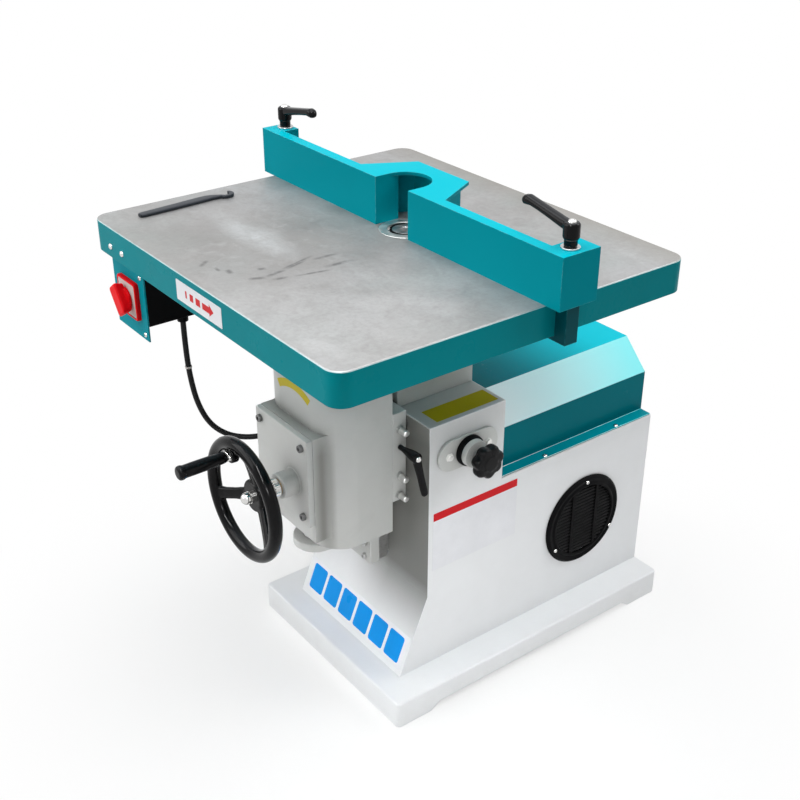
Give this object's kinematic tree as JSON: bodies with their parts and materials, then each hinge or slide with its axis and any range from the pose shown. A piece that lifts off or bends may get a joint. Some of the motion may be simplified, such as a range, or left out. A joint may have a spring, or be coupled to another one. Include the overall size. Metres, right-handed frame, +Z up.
{
  "type": "spindle moulder",
  "caption": "Floor-standing spindle moulder: cast table raised by a handwheel on a column, split fence round a vertical spindle, belt hood, rotary switch and spindle lock.",
  "frame": {"origin": "on the floor, under the middle of the machine's outline", "axes": "+X to the operator's right, +Y from the handwheel towards the motor hood, +Z up"},
  "size_m": [0.824, 0.97, 1.0128],
  "materials": {
    "white_paint": "gloss",
    "grey_paint": "satin",
    "teal_paint": "gloss",
    "ground_iron": "ground",
    "steel": "satin",
    "chrome": "polished",
    "black_iron": "gloss",
    "black_plastic": "gloss",
    "black_matte": "matte",
    "red_plastic": "gloss",
    "grey_plastic": "satin",
    "rubber": "matte",
    "bronze": "satin",
    "motor_paint": "satin"
  },
  "bodies": {
    "frame": {"base": "white_paint", "column": "white_paint", "spindle_housing": "grey_paint", "slide_way": "steel", "hood": "teal_paint", "hood_screws": "chrome", "vent_grille": "black_matte", "grille_screws": "steel", "motor": "motor_paint", "motor_plate": "steel", "motor_bolts": "steel", "spindle_bearings": "steel", "drive_belt": "rubber", "lift_bracket": "grey_paint", "bracket_screws": "steel", "lift_screw": "steel", "lock_flange": "grey_paint", "flange_bolts": "steel"},
    "table_unit": {"table": "ground_iron", "table_insert": "steel", "headstock": "grey_paint", "headstock_bolts": "steel", "gear_cover": "grey_paint", "cover_bolts": "steel", "shaft_bush": "bronze", "slide_gibs": "grey_paint", "gib_screws": "steel", "switch_bracket": "teal_paint", "bracket_bolts": "chrome", "switch_box": "black_matte", "switch_plate": "grey_plastic", "switch_screws": "chrome", "switch_gland": "black_matte", "headstock_gland": "black_matte", "switch_cable": "rubber"},
    "handwheel": {"handwheel": "black_iron", "wheel_shaft": "steel", "shaft_gear": "steel", "shaft_collar": "steel", "dome_nut": "chrome", "handle_pin": "chrome"},
    "handle": {"handle_grip": "black_plastic"},
    "lift_nut": {"lift_nut": "bronze"},
    "slide_clamp": {"slide_clamp_lever": "black_iron"},
    "spindle": {"spindle_shaft": "steel", "nose_nut": "black_iron", "spindle_pulley": "steel"},
    "motor_rotor": {"motor_shaft": "steel", "motor_pulley": "steel"},
    "spindle_lock": {"lock_plunger": "steel", "star_knob": "black_plastic"},
    "switch_knob": {"switch_knob": "red_plastic"},
    "fence": {"fence": "teal_paint", "fence_washers": "steel"},
    "fence_lever_left": {"fence_lever_left": "black_iron"},
    "fence_lever_right": {"fence_lever_right": "black_iron"},
    "fence_jaw_left": {"fence_jaw_left": "teal_paint"},
    "fence_jaw_right": {"fence_jaw_right": "teal_paint"},
    "hook_spanner": {"hook_spanner": "black_iron"}
  },
  "joints": [
    {"name": "handwheel_turn", "type": "hinge", "parent": "table_unit", "child": "handwheel", "pos_m": [0.036, -0.387, 0.4785], "axis": [0, 1, 0], "range_deg": [0, 3600]},
    {"name": "table_lift", "type": "slide", "parent": "frame", "child": "table_unit", "axis": [0, 0, 1], "range_m": [0, 0.1]},
    {"name": "lift_nut_turn", "type": "hinge", "parent": "table_unit", "child": "lift_nut", "pos_m": [0, -0.224, 0.4785], "axis": [0, 0, -1], "range_deg": [0, 3601]},
    {"name": "grip_spin", "type": "hinge", "parent": "handwheel", "child": "handle", "pos_m": [0, -0.44, 0.549], "axis": [0, 1, 0], "continuous": true},
    {"name": "slide_clamp_turn", "type": "hinge", "parent": "table_unit", "child": "slide_clamp", "pos_m": [0.13, -0.1102, 0.517], "axis": [-1, 0, 0], "range_deg": [0, 60]},
    {"name": "motor_spin", "type": "hinge", "parent": "frame", "child": "motor_rotor", "pos_m": [0, 0.303, 0.4], "axis": [0, 0, 1], "continuous": true},
    {"name": "spindle_spin", "type": "hinge", "parent": "frame", "child": "spindle", "pos_m": [0, -0.019, 0.6], "axis": [0, 0, 1], "continuous": true},
    {"name": "lock_plunge", "type": "slide", "parent": "frame", "child": "spindle_lock", "axis": [-1, 0, 0], "range_m": [0, 0.012]},
    {"name": "switch_turn", "type": "hinge", "parent": "table_unit", "child": "switch_knob", "pos_m": [-0.282, -0.425, 0.746], "axis": [0, -1, 0], "range_deg": [-45, 45]},
    {"name": "fence_slide", "type": "slide", "parent": "table_unit", "child": "fence", "axis": [0, 1, 0], "range_m": [-0.05, 0.08]},
    {"name": "fence_lever_left_turn", "type": "hinge", "parent": "fence", "child": "fence_lever_left", "pos_m": [-0.3885, -0.012, 0.97], "axis": [0, 0, 1], "range_deg": [0, 180]},
    {"name": "fence_lever_right_turn", "type": "hinge", "parent": "fence", "child": "fence_lever_right", "pos_m": [0.3885, -0.012, 0.97], "axis": [0, 0, 1], "range_deg": [0, 180]},
    {"name": "fence_jaw_left_drop", "type": "slide", "parent": "fence", "child": "fence_jaw_left", "axis": [0, 0, -1], "range_m": [0, 0.00401]},
    {"name": "fence_jaw_right_drop", "type": "slide", "parent": "fence", "child": "fence_jaw_right", "axis": [0, 0, -1], "range_m": [0, 0.00401]},
    {"name": "spanner_lift", "type": "slide", "parent": "table_unit", "child": "hook_spanner", "axis": [0, 0, 1], "range_m": [0, 0.1]}
  ],
  "couplings": [
    {"joint": "table_lift", "follows": "handwheel_turn", "m_per_rad": 0.0015915},
    {"joint": "lift_nut_turn", "follows": "handwheel_turn", "ratio": 1},
    {"joint": "spindle_spin", "follows": "motor_spin", "ratio": 1.6111},
    {"joint": "fence_jaw_left_drop", "follows": "fence_lever_left_turn", "m_per_rad": 0.0012732},
    {"joint": "fence_jaw_right_drop", "follows": "fence_lever_right_turn", "m_per_rad": 0.0012732}
  ]
}
